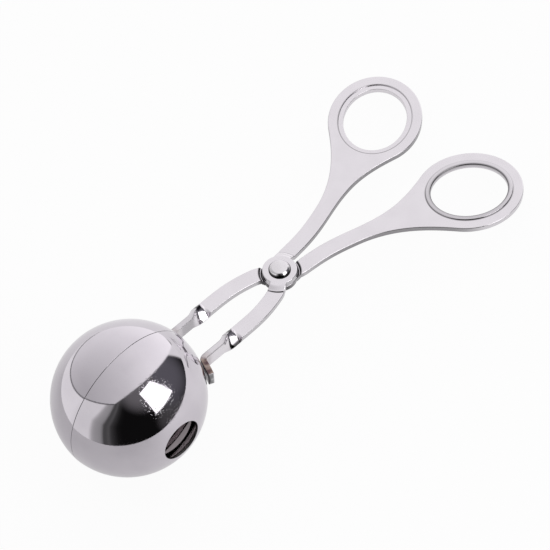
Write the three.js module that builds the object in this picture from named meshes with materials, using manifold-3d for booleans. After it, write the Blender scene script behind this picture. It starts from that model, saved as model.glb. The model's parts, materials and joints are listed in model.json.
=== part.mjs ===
// Meatball maker: scissor tongs with two pressed half shells that close into a hollow ball.
// Millimetres. The tool is drawn flat about its pivot, with +X towards the finger loops and
// +Z along the rivet, and is then laid down on its ball and its loops.

import * as THREE from 'three';
import { mergeVertices } from 'three/addons/utils/BufferGeometryUtils.js';
import Module from 'manifold-3d';

// Ball: two bowls pressed a little shallower than half a ball, each with a vent at its pole
const ballRadius = 30;
const bowlShortfall = 0.9;
const shellWall = 1.0;
const seamGap = 0.3;
const rimChamfer = 0.25;
const ventDiameter = 16.6;

// Flat strip that both arms are stamped from
const stripWidth = 6.2;
const stripThickness = 2.4;
const edgeChamfer = 0.35;

// Pivot: round bosses lapped on each other and held by one rivet
const pivotToBall = 79.1;
const bossDiameter = 13.2;
const lapGap = 0.3;
const joggleMargin = 1.0;
const joggleRamp = 1.8;
const shankDiameter = 4.6;
const shankClearance = 0.1;
const headClearance = 0.25;
const headDiameter = 8.4;
const headLip = 0.2;
const headEdgeRadius = 1.3;
const headCrownSlope = 3.5;
const tailDiameter = 7.6;
const tailLip = 0.3;
const tailEdgeRadius = 0.7;

// Jaw arm: curved flat strip, quarter twist, upright blade and a foot welded to the shell
const jawSpacing = 16.7;
const jawExitMargin = 1.5;
const jawExitBearing = 33.4;
const jawExitAngle = 15.5;
const twistLength = 6.5;
const bladeLength = 10.2;
const footBendRadius = 0.9;
const footLength = 6.8;
const weldGap = 0.3;

// Handle: strip that sweeps outwards, then flares into the finger loop
const handleGap = 2.1;
const handleExitAngle = 4;
const neckReach = 31;
const neckOffset = 8.4;
const neckAngle = 17;
const neckOverlap = 2;
const neckOuterPull = 14;
const neckInnerPull = 15.5;

// Finger loop: tilted oval hole with a coined ledge inside a flat band
const loopReach = 76;
const loopGap = 12.4;
const loopTilt = 34;
const fingerHoleLength = 29.4;
const fingerHoleWidth = 24;
const ledgeWidth = 1.9;
const ledgeDepth = 0.5;
const ledgeRoot = 1;
const bandWidth = 4;
const outerTangentAngle = 111;
const innerTangentAngle = 218;

// Number of flats that stand for curves
const turnSegments = 40;
const bowlSteps = 12;
const rivetSegments = 24;
const rivetEdgeSteps = 5;
const outlineSegments = 14;
const stripSteps = { handle: 8, crossing: 26, jaw: 10, twist: 10, blade: 2, bend: 6, foot: 5 };
const curvePull = 0.4;
const joinTolerance = 1e-5;

// Sizes that follow from those above
const bossRadius = bossDiameter / 2;
const lapRise = (stripThickness + lapGap) / 2;
const joggleInner = bossRadius + joggleMargin;
const joggleOuter = joggleInner + joggleRamp;
const bossTop = lapRise + stripThickness / 2;
const bossUnderside = lapRise - stripThickness / 2;
const boreRadius = shankDiameter / 2 + shankClearance;
const jawOffset = jawSpacing / 2;
const jawExitReach = joggleOuter + jawExitMargin;
const handleExitOffset = (stripWidth + handleGap) / 2;
const handleExitReach = Math.sqrt(joggleOuter ** 2 - handleExitOffset ** 2);
const footRadius = ballRadius + weldGap + stripThickness / 2;
const bendRadius = footBendRadius + stripThickness / 2;
const loopTiltRadians = THREE.MathUtils.degToRad(loopTilt);
const loopHalfLength = fingerHoleLength / 2 + ledgeWidth + bandWidth;
const loopHalfWidth = fingerHoleWidth / 2 + ledgeWidth + bandWidth;
const loopSpread = loopGap / 2
  + Math.hypot(loopHalfLength * Math.sin(loopTiltRadians), loopHalfWidth * Math.cos(loopTiltRadians));

const wasm = await Module();
wasm.setup();

// Closed geometry as a solid that can be joined and cut
function solid(geometry) {
  const bare = geometry.clone();
  bare.deleteAttribute('normal');
  bare.deleteAttribute('uv');
  const merged = mergeVertices(bare, joinTolerance);
  return new wasm.Manifold(new wasm.Mesh({
    numProp: 3,
    vertProperties: new Float32Array(merged.attributes.position.array),
    triVerts: new Uint32Array(merged.index.array),
  }));
}

// Joined or cut solid as a geometry with flat-shaded faces
function geometryOf(body) {
  const mesh = body.getMesh();
  const geometry = new THREE.BufferGeometry();
  geometry.setAttribute('position', new THREE.BufferAttribute(mesh.vertProperties, 3));
  geometry.setIndex(new THREE.BufferAttribute(mesh.triVerts, 1));
  const faceted = geometry.toNonIndexed();
  faceted.computeVertexNormals();
  return faceted;
}

// Profile of radius and height turned about the Z axis
function turned(profile, segments) {
  const points = profile.map(([radius, height]) => new THREE.Vector2(radius, height));
  return new THREE.LatheGeometry(points, segments).rotateX(Math.PI / 2);
}

function radians(degrees) {
  return THREE.MathUtils.degToRad(degrees);
}

function heading(degrees) {
  return new THREE.Vector2(Math.cos(radians(degrees)), Math.sin(radians(degrees)));
}

// Points on a circular arc, both ends included
function arcPoints(centreX, centreY, radius, fromDegrees, toDegrees, steps) {
  return Array.from({ length: steps + 1 }, (_, step) => {
    const direction = heading(THREE.MathUtils.lerp(fromDegrees, toDegrees, step / steps));
    return [centreX + radius * direction.x, centreY + radius * direction.y];
  });
}

// Half shell: bowl with its pole towards -Y, an open chamfered rim and a round vent
function halfShellGeometry() {
  const innerRadius = ballRadius - shellWall;
  const ventRadius = ventDiameter / 2;
  const rim = bowlShortfall + seamGap / 2;
  const degreesAt = (height, radius) => THREE.MathUtils.radToDeg(Math.asin(height / radius));
  const ventDegrees = (radius) => THREE.MathUtils.radToDeg(Math.acos(ventRadius / radius));
  const outer = arcPoints(
    0, 0, ballRadius, ventDegrees(ballRadius), degreesAt(rim + rimChamfer, ballRadius), bowlSteps);
  const inner = arcPoints(
    0, 0, innerRadius, degreesAt(rim + rimChamfer, innerRadius), ventDegrees(innerRadius), bowlSteps);
  const outerRim = [outer.at(-1)[0] - rimChamfer, rim];
  const innerRim = [inner[0][0] + rimChamfer, rim];
  const profile = [...outer, outerRim, innerRim, ...inner, outer[0]];
  const points = profile.map(([radius, height]) => new THREE.Vector2(radius, height)).reverse();
  return new THREE.LatheGeometry(points, turnSegments).rotateX(Math.PI);
}

// Foot bend: circle that touches the blade's line and the shell's offset circle
function footBend() {
  const below = jawOffset + bowlShortfall + bendRadius;
  const along = Math.sqrt((footRadius + bendRadius) ** 2 - below ** 2);
  return {
    x: along - pivotToBall,
    y: -jawOffset - bendRadius,
    meetsShellAt: Math.atan2(below, along),
  };
}

// Centre line of the strip from the loop's neck, over the pivot, to the tip of the foot
function stripStretches() {
  const bend = footBend();
  const neck = new THREE.Vector2(neckReach, neckOffset);
  const handleExit = new THREE.Vector2(handleExitReach, handleExitOffset);
  const jawExit = heading(jawExitBearing).multiplyScalar(-jawExitReach);
  const bendStart = new THREE.Vector2(bend.x, -jawOffset);
  const twistEnd = new THREE.Vector2(bend.x + bladeLength, -jawOffset);
  const twistStart = new THREE.Vector2(twistEnd.x + twistLength, -jawOffset);
  const curve = (from, fromAngle, to, toAngle) => {
    const pull = from.distanceTo(to) * curvePull;
    return new THREE.CubicBezierCurve(
      from,
      heading(fromAngle + 180).multiplyScalar(pull).add(from),
      heading(toAngle).multiplyScalar(pull).add(to),
      to);
  };
  const footSweep = footLength / footRadius;
  return {
    handle: curve(neck, neckAngle, handleExit, handleExitAngle),
    crossing: curve(handleExit, handleExitAngle, jawExit, jawExitAngle),
    jaw: curve(jawExit, jawExitAngle, twistStart, 0),
    twist: new THREE.LineCurve(twistStart, twistEnd),
    blade: new THREE.LineCurve(twistEnd, bendStart),
    bend: new THREE.EllipseCurve(
      bend.x, bend.y, bendRadius, bendRadius,
      Math.PI / 2, Math.PI - bend.meetsShellAt, false),
    foot: new THREE.EllipseCurve(
      -pivotToBall, bowlShortfall, footRadius, footRadius,
      -bend.meetsShellAt, -bend.meetsShellAt - footSweep, true),
  };
}

// Rise of the lapped strip: full at the boss, sloping to nothing outside it
function joggleRise(x, y) {
  const outside = (Math.hypot(x, y) - joggleInner) / joggleRamp;
  return lapRise * (1 - THREE.MathUtils.clamp(outside, 0, 1));
}

// Chamfered strip section as points across the width and through the thickness
function stripSection() {
  const halfWidth = stripWidth / 2;
  const halfThickness = stripThickness / 2;
  const face = halfWidth - edgeChamfer;
  const side = halfThickness - edgeChamfer;
  const across = [-face, 0, face];
  return [
    ...across.map((u) => [u, -halfThickness]),
    [halfWidth, -side],
    [halfWidth, side],
    ...across.map((u) => [-u, halfThickness]),
    [-halfWidth, side],
    [-halfWidth, -side],
  ];
}

// Strip lofted along its centre line: flat, joggled, turned upright by the twist, bent at the foot
function stripGeometry() {
  const stretches = stripStretches();
  const section = stripSection();
  const positions = [];
  let turn = 0;
  let stations = 0;
  for (const [name, stretch] of Object.entries(stretches)) {
    const first = stations === 0 ? 0 : 1;
    for (let step = first; step <= stripSteps[name]; step += 1) {
      const share = step / stripSteps[name];
      const centre = stretch.getPoint(share);
      const along = stretch.getTangent(share);
      if (name === 'twist') {
        turn = -share * Math.PI / 2;
      }
      for (const [u, v] of section) {
        const sideways = u * Math.cos(turn) - v * Math.sin(turn);
        const x = centre.x - along.y * sideways;
        const y = centre.y + along.x * sideways;
        positions.push(x, y, u * Math.sin(turn) + v * Math.cos(turn) + joggleRise(x, y));
      }
      stations += 1;
    }
  }
  return loft(positions, stations, section.length);
}

// Closed skin over rings of points, with a flat fan on each end
function loft(positions, rings, count) {
  const triangles = [];
  for (let ring = 0; ring + 1 < rings; ring += 1) {
    for (let corner = 0; corner < count; corner += 1) {
      const a = ring * count + corner;
      const b = ring * count + (corner + 1) % count;
      triangles.push(a, b, a + count, b, b + count, a + count);
    }
  }
  const last = (rings - 1) * count;
  for (let corner = 1; corner + 1 < count; corner += 1) {
    triangles.push(0, corner + 1, corner);
    triangles.push(last, last + corner, last + corner + 1);
  }
  const geometry = new THREE.BufferGeometry();
  geometry.setAttribute('position', new THREE.Float32BufferAttribute(positions, 3));
  geometry.setIndex(triangles);
  return geometry;
}

// Flat plate of an outline, centred on the strip's mid plane, with chamfered edges
function plate(shape, thickness) {
  return new THREE.ExtrudeGeometry(shape, {
    depth: thickness - 2 * edgeChamfer,
    curveSegments: outlineSegments,
    bevelSegments: 1,
    bevelThickness: edgeChamfer,
    bevelSize: edgeChamfer,
    bevelOffset: -edgeChamfer,
  }).translate(0, 0, edgeChamfer - thickness / 2);
}

// Point and direction of travel on the loop's outer edge
function loopEdge(degrees) {
  const origin = new THREE.Vector2();
  const centre = new THREE.Vector2(loopReach, loopSpread);
  const { x: across, y: up } = heading(degrees);
  const point = new THREE.Vector2(loopHalfLength * across, loopHalfWidth * up);
  const travel = new THREE.Vector2(-loopHalfLength * up, loopHalfWidth * across);
  return {
    point: point.rotateAround(origin, loopTiltRadians).add(centre),
    travel: travel.rotateAround(origin, loopTiltRadians).normalize(),
  };
}

// Oval round the finger hole, a set distance outside it
function loopOval(path, outside) {
  path.absellipse(
    loopReach, loopSpread,
    fingerHoleLength / 2 + outside, fingerHoleWidth / 2 + outside,
    0, 2 * Math.PI, false, loopTiltRadians);
  return path;
}

// Band of the finger loop with the neck that flares from the strip on both sides
function loopBandShape() {
  const along = heading(neckAngle);
  const left = new THREE.Vector2(-along.y, along.x).multiplyScalar(stripWidth / 2);
  const neck = new THREE.Vector2(neckReach, neckOffset);
  const outerStart = neck.clone().add(left);
  const innerStart = neck.clone().sub(left);
  const back = along.clone().multiplyScalar(neckOverlap);
  const outerEdge = loopEdge(outerTangentAngle);
  const innerEdge = loopEdge(innerTangentAngle);
  const innerPull = along.clone().multiplyScalar(neckInnerPull).add(innerStart);
  const innerMeet = innerEdge.travel.clone().multiplyScalar(-neckInnerPull).add(innerEdge.point);
  const outerMeet = outerEdge.travel.clone().multiplyScalar(neckOuterPull).add(outerEdge.point);
  const outerPull = along.clone().multiplyScalar(neckOuterPull).add(outerStart);
  const shape = new THREE.Shape();
  shape.moveTo(outerStart.x - back.x, outerStart.y - back.y);
  shape.lineTo(innerStart.x - back.x, innerStart.y - back.y);
  shape.lineTo(innerStart.x, innerStart.y);
  shape.bezierCurveTo(
    innerPull.x, innerPull.y, innerMeet.x, innerMeet.y, innerEdge.point.x, innerEdge.point.y);
  shape.absellipse(
    loopReach, loopSpread, loopHalfLength, loopHalfWidth,
    radians(innerTangentAngle - 360), radians(outerTangentAngle), false, loopTiltRadians);
  shape.bezierCurveTo(
    outerMeet.x, outerMeet.y, outerPull.x, outerPull.y, outerStart.x, outerStart.y);
  shape.closePath();
  shape.holes.push(loopOval(new THREE.Path(), ledgeWidth));
  return shape;
}

// Coined ledge: thinner rim between the band and the finger hole
function loopLedgeShape() {
  const shape = loopOval(new THREE.Shape(), ledgeWidth + ledgeRoot);
  shape.holes.push(loopOval(new THREE.Path(), 0));
  return shape;
}

// Arm: finger loop, strip and boss in one stamping, bored for the rivet
function armGeometry() {
  const boss = turned([
    [0, bossUnderside],
    [bossRadius - edgeChamfer, bossUnderside],
    [bossRadius, bossUnderside + edgeChamfer],
    [bossRadius, bossTop - edgeChamfer],
    [bossRadius - edgeChamfer, bossTop],
    [0, bossTop],
  ], turnSegments);
  const bore = turned([
    [0, -bossTop],
    [boreRadius, -bossTop],
    [boreRadius, 2 * bossTop],
    [0, 2 * bossTop],
  ], rivetSegments);
  return geometryOf(solid(stripGeometry())
    .add(solid(plate(loopBandShape(), stripThickness)))
    .add(solid(plate(loopLedgeShape(), stripThickness - 2 * ledgeDepth)))
    .add(solid(boss))
    .subtract(solid(bore)));
}

// Rivet: low domed head on top, plain shank and a flatter tail upset underneath
function rivetGeometry() {
  const seat = bossTop + headClearance;
  const headRadius = headDiameter / 2;
  const tailRadius = tailDiameter / 2;
  const tail = arcPoints(
    tailRadius - tailEdgeRadius, -seat - tailLip, tailEdgeRadius, -90, 0, rivetEdgeSteps);
  const head = arcPoints(
    headRadius - headEdgeRadius, seat + headLip, headEdgeRadius, 0, 90 - headCrownSlope, rivetEdgeSteps);
  const [crownRadius, crownBase] = head.at(-1);
  return turned([
    [0, -seat - tailLip - tailEdgeRadius],
    ...tail,
    [tailRadius, -seat],
    [shankDiameter / 2, -seat],
    [shankDiameter / 2, seat],
    [headRadius, seat],
    ...head,
    [0, crownBase + crownRadius * Math.tan(radians(headCrownSlope))],
  ], rivetSegments);
}

const satinSteel = { color: 0xd9d6d9, roughness: 0.3, metalness: 1 };
const mirrorSteel = { color: 0xd2d0d3, roughness: 0.06, metalness: 1 };
const rivetSteel = { color: 0xcbc9cc, roughness: 0.2, metalness: 1 };

function piece(name, geometry, finish) {
  const mesh = new THREE.Mesh(geometry, new THREE.MeshStandardMaterial(finish));
  mesh.name = name;
  return mesh;
}

// One half of the tongs: an arm with the shell that its foot is welded to
function tongHalf(armName, shellName, armShape, shellShape) {
  const half = new THREE.Group();
  const shell = piece(shellName, shellShape, mirrorSteel);
  shell.position.set(-pivotToBall, bowlShortfall, 0);
  half.add(piece(armName, armShape, satinSteel), shell);
  return half;
}

const armShape = armGeometry();
const shellShape = halfShellGeometry();
const upperHalf = tongHalf('upper_arm', 'right_half_shell', armShape, shellShape);
const lowerHalf = tongHalf('lower_arm', 'left_half_shell', armShape, shellShape);
lowerHalf.rotation.x = Math.PI;

const tool = new THREE.Group();
tool.add(upperHalf, lowerHalf, piece('pivot_rivet', rivetGeometry(), rivetSteel));

// Lay the tool down: the ball and the ends of the loops touch the table together
const toolBox = new THREE.Box3().setFromObject(tool, true);
const loopEnd = toolBox.max.x + pivotToBall;
const underside = stripThickness / 2;
const restTilt = Math.asin(ballRadius / Math.hypot(loopEnd, underside)) - Math.atan2(underside, loopEnd);
tool.rotation.y = restTilt;

// Origin on the table, under the middle of the tool
const meatballMaker = new THREE.Group();
meatballMaker.add(tool);
meatballMaker.updateMatrixWorld(true);
const restBox = new THREE.Box3().setFromObject(meatballMaker, true);
const restCentre = restBox.getCenter(new THREE.Vector3());
tool.position.set(-restCentre.x, -restCentre.y, -restBox.min.z);
meatballMaker.updateMatrixWorld(true);

export default meatballMaker;
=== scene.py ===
"""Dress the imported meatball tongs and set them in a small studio.

The tongs are two identical stamped arms on one rivet. Each arm carries a pressed half shell, and
the shells close into a hollow ball. Shapes are drawn flat about the rivet, with +X towards the
finger loops and +Z up the rivet, and are then laid down as the frame lies. Sizes are in metres,
angles in degrees. A Span is a low and a high value, or a start and a length where it feeds ease.
"""

import json
import logging
import math
from collections.abc import Callable, Iterable, Sequence
from dataclasses import dataclass, field
from enum import Enum
from typing import NamedTuple

import bmesh
import bpy
from mathutils import Matrix, Vector
from mathutils.geometry import delaunay_2d_cdt


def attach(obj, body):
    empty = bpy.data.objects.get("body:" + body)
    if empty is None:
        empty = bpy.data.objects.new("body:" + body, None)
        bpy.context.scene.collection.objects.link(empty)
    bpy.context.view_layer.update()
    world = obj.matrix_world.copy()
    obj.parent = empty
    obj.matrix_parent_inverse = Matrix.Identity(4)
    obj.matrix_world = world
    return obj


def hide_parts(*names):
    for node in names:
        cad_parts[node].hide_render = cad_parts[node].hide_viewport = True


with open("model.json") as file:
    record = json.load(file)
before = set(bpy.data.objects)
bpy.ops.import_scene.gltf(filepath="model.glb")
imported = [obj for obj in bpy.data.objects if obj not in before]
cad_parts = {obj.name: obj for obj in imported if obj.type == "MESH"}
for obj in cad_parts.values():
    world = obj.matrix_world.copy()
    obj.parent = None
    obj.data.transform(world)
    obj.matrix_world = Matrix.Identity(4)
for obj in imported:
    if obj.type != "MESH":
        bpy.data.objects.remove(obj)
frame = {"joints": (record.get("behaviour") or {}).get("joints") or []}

LOG = logging.getLogger("meatball_tongs")
MM = 0.001
UP = Vector((0.0, 0.0, 1.0))
NUDGE = 0.01 * MM
WELD = 0.001 * MM
WAVE_RATE = 20.0
FILL_INSIDE, FILL_GAP = 1, 1e-9
MIX_NUMBERS, MIX_COLOURS, MIXED_COLOUR = (2, 3), (6, 7), 2
Colour = tuple[float, float, float]
Span = tuple[float, float]
Socket = bpy.types.NodeSocket


class Half(Enum):
    """The two halves of the tongs, by the frame body that each rides on."""

    RIGHT = "right_half"
    LEFT = "left_half"


class Mark(Enum):
    """Surface marks that a finish reads from a piece, by attribute name, and the painted shade that
    it also reads.
    """

    EDGE = "sheared_edge"
    HEAT = "weld_heat"
    CUT = "cut_end"
    # painted shade: darkening in creases, corners, gaps and on sides that face dark surroundings
    GROOVE = "dark_groove"


class Marks(NamedTuple):
    """How far each surface mark and the painted shade show at a point, from 0 to 1, in the order of
    Mark.
    """

    edge: float = 0.0
    heat: float = 0.0
    cut: float = 0.0
    groove: float = 0.0


class Station(NamedTuple):
    """A place on a line in the plane and the direction of travel there."""

    point: Vector
    along: Vector


class Corner(NamedTuple):
    """A point of a strip's section: place and outward direction, across and through."""

    across: float
    through: float
    out_across: float
    out_through: float
    edge: float
    # painted shade along the section's rounded corners
    groove: float = 0.0


class JawStep(NamedTuple):
    """A step along the jaw: turn about the line and its rate, marks, and painted shade at its near
    and far edges and on its underside.
    """

    station: Station
    turn: float
    rate: float
    marks: Marks
    near_lip: float = 0.0
    far_lip: float = 0.0
    under_shade: float = 0.0


class StrayGlow(NamedTuple):
    """A faint glow in the dark front: its bearing and elevation, its fade and its colour."""

    spot: Span
    fade: Span
    colour: Colour


def heading(degrees: float) -> Vector:
    """Return the unit vector in the plane at an angle from +X."""
    return Vector((math.cos(math.radians(degrees)), math.sin(math.radians(degrees))))


def left_of(direction: Vector) -> Vector:
    """Return a direction of the plane turned a quarter to the left."""
    return Vector((-direction.y, direction.x))


def ease(value: float, start: float = 0.0, length: float = 1.0) -> float:
    """Return an eased rise from 0 at the start to 1 a length further, level at both ends."""
    held = min(max((value - start) / length, 0.0), 1.0)
    return held * held * (3.0 - 2.0 * held)


def blend(first: float, second: float, share: float) -> float:
    """Return the value between two at a share of the way."""
    return first + (second - first) * share


def hump(share: float, rise: float, fall: float, length: float) -> float:
    """Return an eased hump that is 1 from its rise to its fall and 0 a length further away."""
    return ease(share, rise - length, length) * (1.0 - ease(share, fall, length))


def shares(count: int) -> list[float]:
    """Return the ends of equal steps from 0 to 1, without 0 itself."""
    return [step / count for step in range(1, count + 1)]


def all_round(count: int) -> list[float]:
    """Return equally spaced angles round a full turn."""
    return [360.0 * step / count for step in range(count)]


def cubic_line(corners: Sequence[Vector], steps: int) -> list[Station]:
    """Sample a cubic curve.

    Args:
        corners: The four control points.
        steps: Number of equal parameter steps.

    Returns:
        The stations from the first control point to the last.
    """
    first, second, third, fourth = corners
    stations = []
    for share in (0.0, *shares(steps)):
        rest = 1.0 - share
        point = (first * rest ** 3 + second * (3 * rest ** 2 * share)
                 + third * (3 * rest * share ** 2) + fourth * share ** 3)
        along = ((second - first) * rest ** 2 + (third - second) * (2 * rest * share)
                 + (fourth - third) * share ** 2)
        stations.append(Station(point, along.normalized()))
    return stations


def arc(centre: Sequence[float], radii: Sequence[float], bearings: Span,
        steps: int) -> list[tuple[Vector, Vector]]:
    """Sample an arc in the plane.

    Args:
        centre: Its centre.
        radii: Its radii along both axes, below 0 on a hollow arc.
        bearings: Angles of the outward direction at its start and its end.
        steps: Number of equal steps.

    Returns:
        The points with their outward directions.
    """
    outs = [heading(blend(*bearings, share)) for share in (0.0, *shares(steps))]
    return [(Vector(centre) + Vector(radii) * out, out) for out in outs]


def inside(point: Vector, outline: Sequence[Vector]) -> bool:
    """Return whether a point of the plane lies inside a closed outline."""
    crossings = 0
    previous = outline[-1]
    for current in outline:
        if (current.y > point.y) != (previous.y > point.y):
            share = (point.y - current.y) / (previous.y - current.y)
            crossings += point.x < current.x + share * (previous.x - current.x)
        previous = current
    return crossings % 2 == 1


def show(name: str, data: bpy.types.ID) -> bpy.types.Object:
    """Return a new object at the origin, linked into the scene."""
    made = bpy.data.objects.new(name, data)
    bpy.context.scene.collection.objects.link(made)
    return made


def carry_out(blank: bpy.types.Object) -> bpy.types.Mesh:
    """Return a blank's mesh with its modifiers carried out, and clear them."""
    shaped = blank.evaluated_get(bpy.context.evaluated_depsgraph_get())
    mesh = bpy.data.meshes.new_from_object(shaped)
    blank.modifiers.clear()
    return mesh


def face_outwards(mesh: bpy.types.Mesh, weld: float = 0.0) -> None:
    """Turn a mesh's faces outwards, after joining points that lie closer than the weld."""
    shell = bmesh.new()
    shell.from_mesh(mesh)
    if weld:
        bmesh.ops.remove_doubles(shell, verts=shell.verts, dist=weld)
    bmesh.ops.recalc_face_normals(shell, faces=shell.faces)
    shell.to_mesh(mesh)
    shell.free()


@dataclass(frozen=True)
class Lie:
    """How the flat-drawn tool lies in the frame: its pivot and the way up its rivet."""

    pivot: Vector
    up: Vector

    @classmethod
    def of_joint(cls, joint: dict) -> "Lie":
        """Read the lie from the hinge, whose axis points down the rivet."""
        return cls(Vector(joint["pos_m"]), -Vector(joint["axis"]).normalized())

    def matrix(self, half: Half) -> Matrix:
        """Return the placing of a half.

        Args:
            half: The left half is the right one turned over about the long axis.

        Returns:
            The matrix from the flat drawing to the frame.
        """
        side = Vector((0.0, 1.0, 0.0))
        forward = side.cross(self.up)
        lie = Matrix((forward, side, self.up)).transposed().to_4x4()
        turned = Matrix.Rotation(math.pi if half is Half.LEFT else 0.0, 4, "X")
        return Matrix.Translation(self.pivot) @ lie @ turned


class Skin:
    """Points with normals and marks, and the faces that join them into one closed piece."""

    def __init__(self) -> None:
        """Start with no points and no faces."""
        self.points: list[Vector] = []
        self.normals: list[Vector] = []
        self.marks: list[Marks] = []
        self.faces: list[tuple[int, ...]] = []

    def add(self, point: Vector, normal: Vector, marks: Marks) -> int:
        """Add a point.

        Args:
            point: Its place.
            normal: Its outward direction, of any length.
            marks: How far the surface marks show there.

        Returns:
            The point's number.
        """
        self.points.append(point)
        self.normals.append(normal.normalized())
        self.marks.append(marks)
        return len(self.points) - 1

    def bridge(self, first: Sequence[int], second: Sequence[int], closed: bool) -> None:
        """Join two rows of points with four-sided faces.

        Args:
            first: Point numbers of one row.
            second: As many point numbers of the next row.
            closed: Whether the rows are rings.
        """
        count = len(first)
        for index in range(count if closed else count - 1):
            after = (index + 1) % count
            self.faces.append((first[index], first[after], second[after], second[index]))

    def bridge_all(self, rows: Sequence[Sequence[int]], closed: bool) -> None:
        """Join each row of points with the next."""
        for first, second in zip(rows, rows[1:]):
            self.bridge(first, second, closed)

    def to_object(self, name: str, placing: Matrix) -> bpy.types.Object:
        """Make the piece.

        Args:
            name: Name of the object and of its mesh.
            placing: Matrix from the flat drawing to the frame.

        Returns:
            A mesh object at the origin, with its place in its mesh.
        """
        mesh = bpy.data.meshes.new(name)
        mesh.from_pydata([placing @ point for point in self.points], [], self.faces)
        face_outwards(mesh)
        for mark, values in zip(Mark, zip(*self.marks)):
            layer = mesh.attributes.new(mark.value, "FLOAT", "POINT")
            layer.data.foreach_set("value", values)
        mesh.shade_smooth()
        turn = placing.to_3x3()
        mesh.normals_split_custom_set_from_vertices([turn @ normal for normal in self.normals])
        return show(name, mesh)


class NodeSheet:
    """Adds and links the nodes of one tree."""

    def __init__(self, tree: bpy.types.NodeTree) -> None:
        """Work on a tree, emptied first."""
        self.tree = tree
        tree.nodes.clear()

    def add(self, kind: str, inputs: dict | None = None, **settings: object) -> bpy.types.Node:
        """Add a node.

        Args:
            kind: Blender's name for the node type.
            inputs: Values or sockets by input name or number.
            settings: Properties of the node.

        Returns:
            The new node.
        """
        node = self.tree.nodes.new(kind)
        for name, value in settings.items():
            setattr(node, name, value)
        for key, value in (inputs or {}).items():
            self.feed(node.inputs[key], value)
        return node

    def feed(self, target: Socket, value: object) -> None:
        """Link a socket into an input, or set the input's own value."""
        if isinstance(value, Socket):
            self.tree.links.new(value, target)
        else:
            target.default_value = value

    def math(self, operation: str, *values: object) -> Socket:
        """Return the result of a math node on sockets or numbers."""
        return self.add("ShaderNodeMath", dict(enumerate(values)), operation=operation).outputs[0]

    def product(self, *values: object) -> Socket:
        """Return the product of two sockets or numbers."""
        return self.math("MULTIPLY", *values)

    def ramp(self, value: object, low: float, high: float) -> Socket:
        """Return a smooth rise from 0 at low to 1 at high."""
        inputs = {"Value": value, "From Min": low, "From Max": high}
        return self.add("ShaderNodeMapRange", inputs, interpolation_type="SMOOTHSTEP").outputs[0]

    def span(self, value: object, low: float, high: float) -> Socket:
        """Return a value of 0 to 1 spread evenly from low to high."""
        inputs = {"Value": value, "To Min": low, "To Max": high}
        return self.add("ShaderNodeMapRange", inputs).outputs[0]

    def between(self, share: object, first: object, second: object) -> Socket:
        """Return a number between two by a share of the second."""
        inputs = {0: share, **dict(zip(MIX_NUMBERS, (first, second)))}
        return self.add("ShaderNodeMix", inputs).outputs[0]

    def mix(self, share: object, first: object, second: object, kind: str = "MIX") -> Socket:
        """Return a mix of two colours by a share of the second."""
        node = self.add("ShaderNodeMix", data_type="RGBA", blend_type=kind)
        self.feed(node.inputs[0], share)
        for slot, value in zip(MIX_COLOURS, (first, second)):
            self.feed(node.inputs[slot], value if isinstance(value, Socket) else (*value, 1.0))
        return node.outputs[MIXED_COLOUR]

    def noise(self, place: Socket, grain: float, detail: float) -> Socket:
        """Return cloudy noise whose lumps are about as wide as a grain in metres."""
        inputs = {"Vector": place, "Scale": 1.0 / grain, "Detail": detail}
        return self.add("ShaderNodeTexNoise", inputs).outputs[0]

    def place(self, kind: str = "Object") -> Socket:
        """Return the texture coordinates of a kind."""
        return self.add("ShaderNodeTexCoord").outputs[kind]

    def parts(self, vector: Socket) -> bpy.types.bpy_prop_collection:
        """Return the three parts of a vector."""
        return self.add("ShaderNodeSeparateXYZ", {0: vector}).outputs

    def views(self) -> tuple[Socket, Socket]:
        """Return whether a ray is seen directly, also through glass, and whether by reflection."""
        path = self.add("ShaderNodeLightPath").outputs
        direct = self.math("MAXIMUM", path["Is Camera Ray"], path["Is Transmission Ray"])
        return direct, path["Is Glossy Ray"]


class Ground(NamedTuple):
    """What a finish starts from: its nodes, the place on the piece, clouded colour and gloss."""

    sheet: NodeSheet
    place: Socket
    colour: Socket
    gloss: Socket


class Looks(NamedTuple):
    """What a finish ends with: colour, gloss and a height in metres."""

    colour: Socket
    gloss: Socket
    height: Socket


@dataclass(frozen=True)
class Steel:
    """Bare steel whose colour and gloss drift between two values in soft clouds."""

    name: str
    colour: Colour
    clouded: Colour
    gloss: float
    haze: float
    cloud: float
    cloud_detail: float = 4.0
    cloud_levels: Span = (0.35, 0.7)

    def dress(self, ground: Ground) -> Looks:
        """Add what sets the finish apart, which each finish does in its own way."""
        raise NotImplementedError

    def material(self) -> bpy.types.Material:
        """Build the material.

        Returns:
            A metal with the finish's colour, gloss and fine relief.
        """
        material = bpy.data.materials.new(self.name)
        material.use_nodes = True
        sheet = NodeSheet(material.node_tree)
        place = sheet.place()
        clouds = sheet.ramp(sheet.noise(place, self.cloud, self.cloud_detail), *self.cloud_levels)
        looks = self.dress(Ground(sheet, place, sheet.mix(clouds, self.colour, self.clouded),
                                  sheet.span(clouds, self.gloss, self.haze)))
        bump = sheet.add("ShaderNodeBump", {
            "Strength": 1.0, "Distance": 1.0, "Height": looks.height})
        metal = sheet.add("ShaderNodeBsdfPrincipled", {
            "Metallic": 1.0, "Base Color": looks.colour, "Roughness": looks.gloss,
            "Normal": bump.outputs[0]})
        sheet.add("ShaderNodeOutputMaterial", {"Surface": metal.outputs[0]})
        return material


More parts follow.
